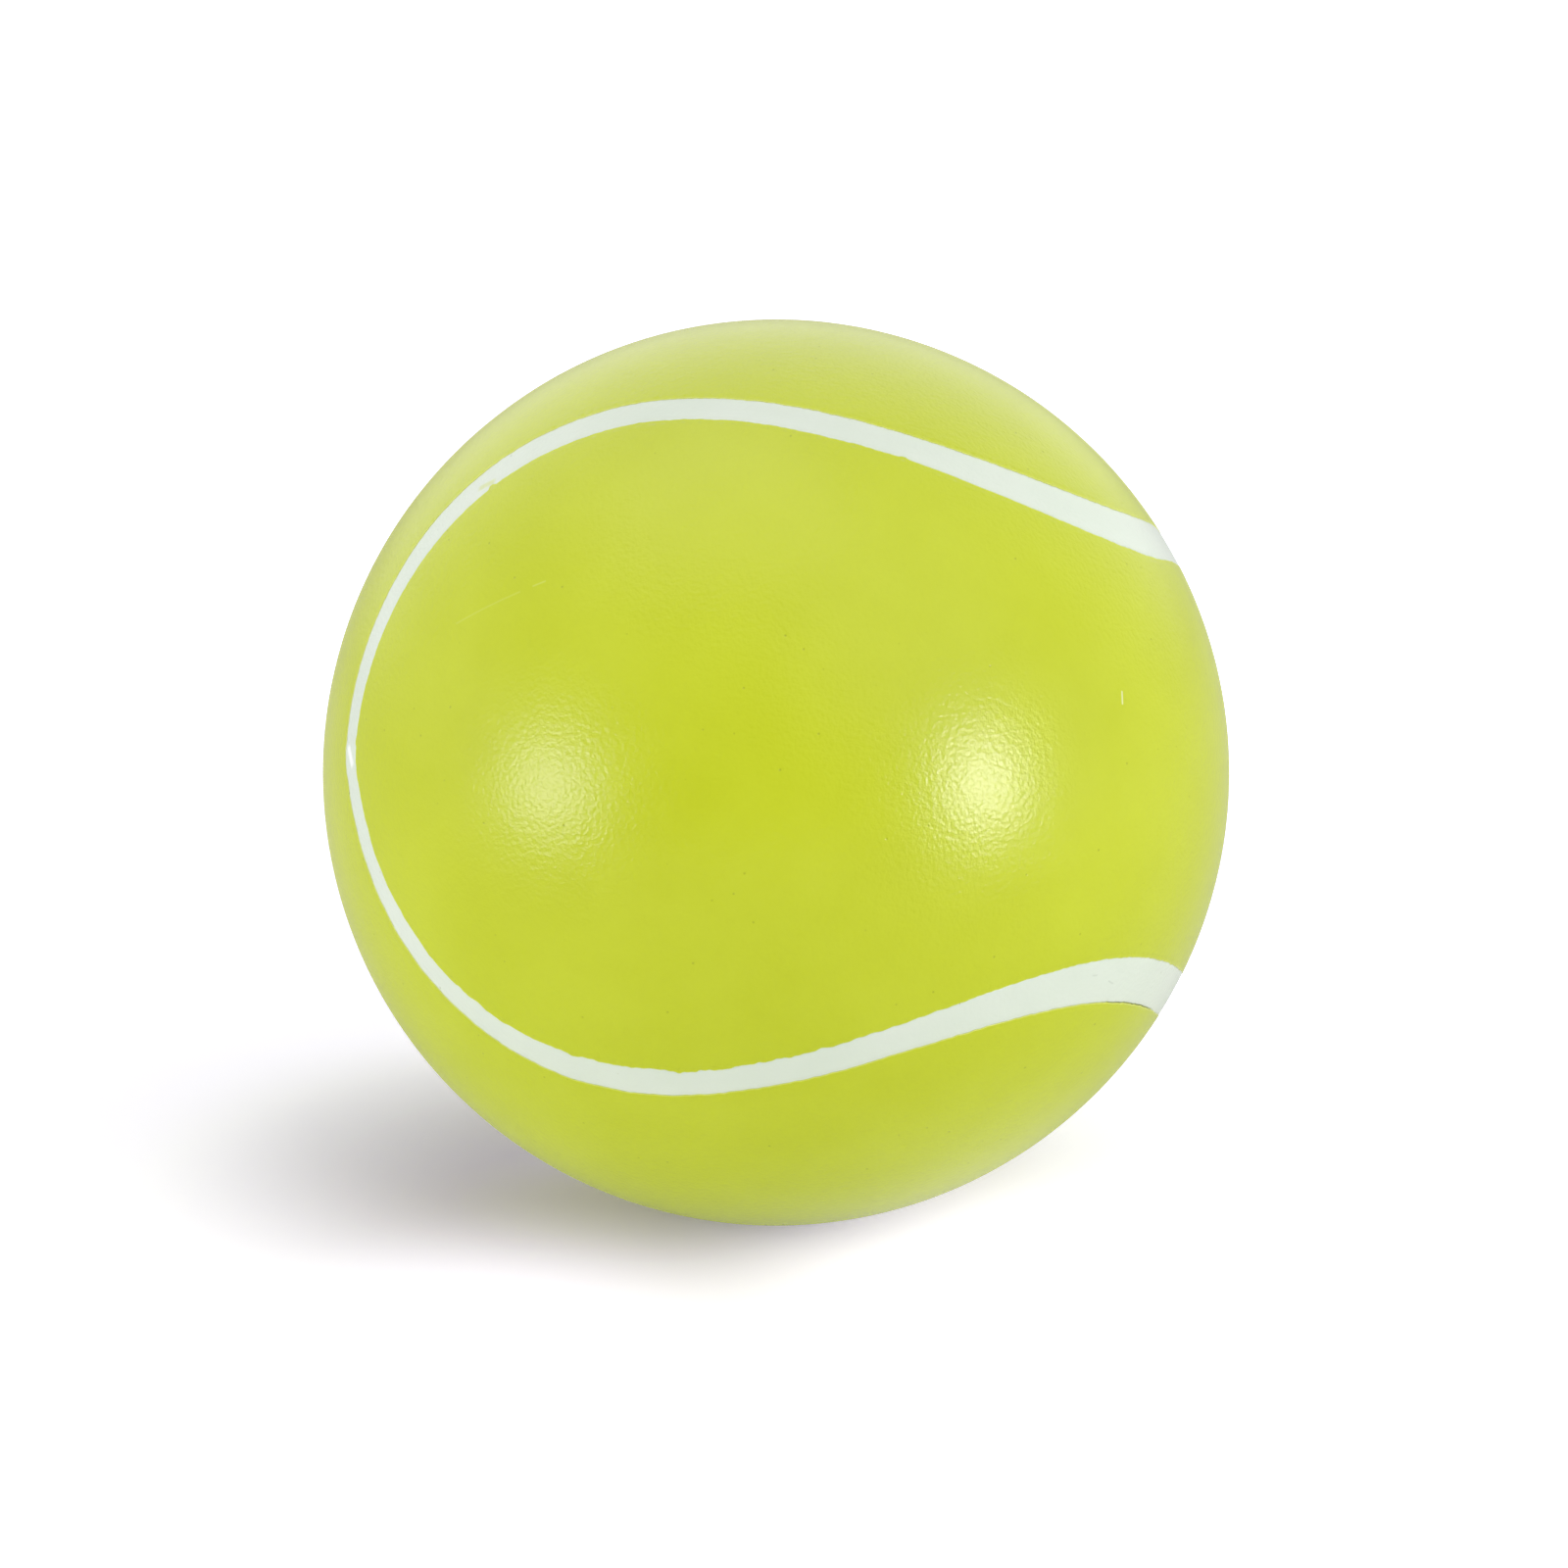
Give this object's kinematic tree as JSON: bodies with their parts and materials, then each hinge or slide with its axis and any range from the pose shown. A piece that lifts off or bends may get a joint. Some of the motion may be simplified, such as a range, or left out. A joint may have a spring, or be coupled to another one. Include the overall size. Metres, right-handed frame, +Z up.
{
  "type": "foam tennis ball",
  "caption": "Soft foam ball with a smooth lime coat and a curved white seam line, for squeezing in the hand and for light play.",
  "frame": {"origin": "the ball's centre", "axes": "+Z up with the ball lying on its lowest point; -Y towards the front lobe, which is pitched up 21 degrees; +X towards the waist that joins the front and back lobes"},
  "size_m": [0.0634, 0.0634, 0.0634],
  "materials": {
    "soft_foam": "open soft polyurethane foam, matte",
    "foam_skin": "dense moulded polyurethane foam skin, smooth matte",
    "lime_paint": "satin flexible paint with fine orange peel",
    "white_paint": "satin flexible paint"
  },
  "bodies": {
    "root": {"foam_core": "soft_foam", "foam_skin": "foam_skin", "lime_coat_front_back": "lime_paint", "lime_coat_top_bottom": "lime_paint", "white_line": "white_paint"}
  },
  "joints": []
}
